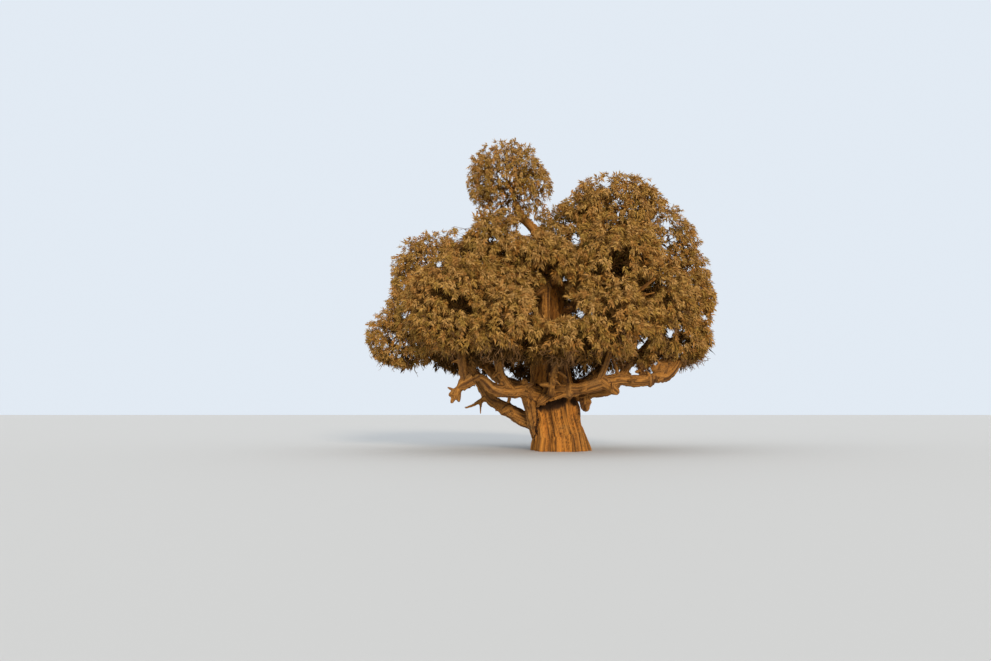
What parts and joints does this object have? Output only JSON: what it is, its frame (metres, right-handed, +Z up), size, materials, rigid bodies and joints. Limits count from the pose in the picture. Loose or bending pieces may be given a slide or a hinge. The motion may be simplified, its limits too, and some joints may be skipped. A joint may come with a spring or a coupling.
{
  "type": "saharan cypress tree",
  "caption": "Ancient desert cypress with a stout fluted bole, gnarled spreading boughs low down and a broad domed crown of drooping foliage masses.",
  "frame": {"origin": "centre of the flat cut under the trunk, at ground level", "axes": "+Z up along the trunk, +X to the right across the crown's widest spread, -Y towards the side seen in the picture"},
  "size_m": [15.8124, 11.6455, 14.045],
  "materials": {
    "bark": "rough, fibrous orange-brown bark in vertical strips",
    "foliage": "matte golden-olive scale leaves in fine drooping sprays"
  },
  "bodies": {
    "root": {"trunk": "bark", "low_right_bough": "bark", "low_left_bough": "bark", "lower_left_bough": "bark", "front_bough": "bark", "under_right_bough": "bark", "back_right_bough": "bark", "back_bough": "bark", "back_left_bough": "bark", "left_mid_bough": "bark", "shoulder_bough": "bark", "slant_bough": "bark", "upper_left_bough": "bark", "upper_mid_bough": "bark", "back_left_top_bough": "bark", "right_heart_bough": "bark", "right_mid_bough": "bark", "right_upper_bough": "bark", "back_right_top_bough": "bark", "head_leader": "bark", "right_leader": "bark", "back_top_bough": "bark", "saddle_limb": "bark", "bump_limb": "bark", "left_riser": "bark", "left_end_riser": "bark", "right_riser": "bark", "bush_limb": "bark", "dead_spur": "bark", "trunk_burl": "bark", "bough_burl": "bark", "foliage_head": "foliage", "foliage_saddle": "foliage", "foliage_crown_bump": "foliage", "foliage_right_peak": "foliage", "foliage_right_upper": "foliage", "foliage_right_side": "foliage", "foliage_right_low": "foliage", "foliage_right_heart": "foliage", "foliage_right_mid": "foliage", "foliage_right_front": "foliage", "foliage_low_bush": "foliage", "foliage_front_low": "foliage", "foliage_upper_mid": "foliage", "foliage_left_heart": "foliage", "foliage_front_left": "foliage", "foliage_left_front": "foliage", "foliage_upper_left": "foliage", "foliage_left_mid": "foliage", "foliage_left_shoulder": "foliage", "foliage_far_left": "foliage", "foliage_back_left": "foliage", "foliage_back_left_top": "foliage", "foliage_back_mid": "foliage", "foliage_back_top": "foliage", "foliage_back_right": "foliage", "foliage_back_right_top": "foliage"}
  },
  "joints": []
}
